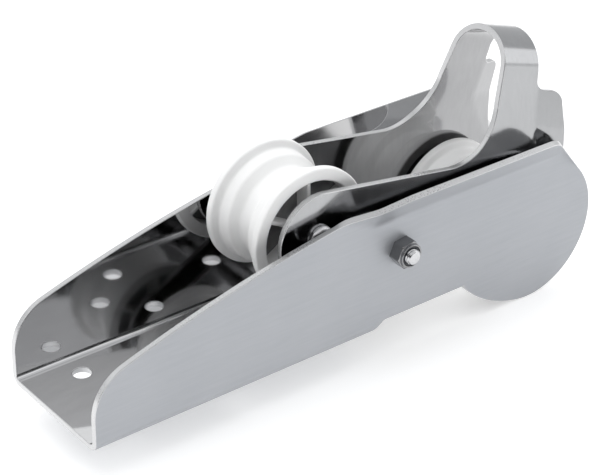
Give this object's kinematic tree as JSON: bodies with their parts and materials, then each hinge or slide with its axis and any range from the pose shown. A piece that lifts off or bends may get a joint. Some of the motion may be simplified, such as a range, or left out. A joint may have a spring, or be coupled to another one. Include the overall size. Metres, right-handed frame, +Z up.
{
  "type": "bow roller",
  "caption": "Rocking bow roller: a steel channel that bolts to a foredeck, with a cradle carrying grooved nylon rollers and an anchor hoop that tips on a cross bolt.",
  "frame": {"origin": "middle of the four-hole fixing pattern, on the underside of the channel's floor", "axes": "+X outboard along the channel, +Y across it to port seen from above with +X ahead, +Z up"},
  "size_m": [0.3029, 0.0871, 0.1423],
  "materials": {
    "channel_steel": "satin",
    "cradle_steel": "polished",
    "fastener_steel": "machined",
    "nylon": "satin",
    "nut_ring": "matte"
  },
  "bodies": {
    "channel": {"outer_channel": "channel_steel", "pivot_bolt": "fastener_steel", "pivot_washer": "fastener_steel", "pivot_nut": "fastener_steel", "pivot_nut_insert": "nut_ring", "pivot_spacers": "nylon"},
    "cradle": {"rocking_cradle": "cradle_steel", "pivot_tube": "fastener_steel", "rear_axle_bolt": "fastener_steel", "rear_axle_nut": "fastener_steel", "rear_axle_nut_insert": "nut_ring", "rear_axle_sleeve": "fastener_steel", "rear_thrust_washers": "nylon", "front_axle_bolt": "fastener_steel", "front_axle_nut": "fastener_steel", "front_axle_nut_insert": "nut_ring", "front_axle_sleeve": "fastener_steel", "front_thrust_washers": "nylon"},
    "rear_roller": {"rear_roller": "nylon"},
    "front_roller": {"front_roller": "nylon"}
  },
  "joints": [
    {"name": "cradle_rock", "type": "hinge", "parent": "channel", "child": "cradle", "pos_m": [0.117, 0, 0.043], "axis": [0, -1, 0], "range_deg": [0, 31]},
    {"name": "rear_roller_spin", "type": "hinge", "parent": "cradle", "child": "rear_roller", "pos_m": [0.07412, 0, 0.06042], "axis": [0, 1, 0], "continuous": true},
    {"name": "front_roller_spin", "type": "hinge", "parent": "cradle", "child": "front_roller", "pos_m": [0.19497, 0, 0.02269], "axis": [0, 1, 0], "continuous": true}
  ]
}
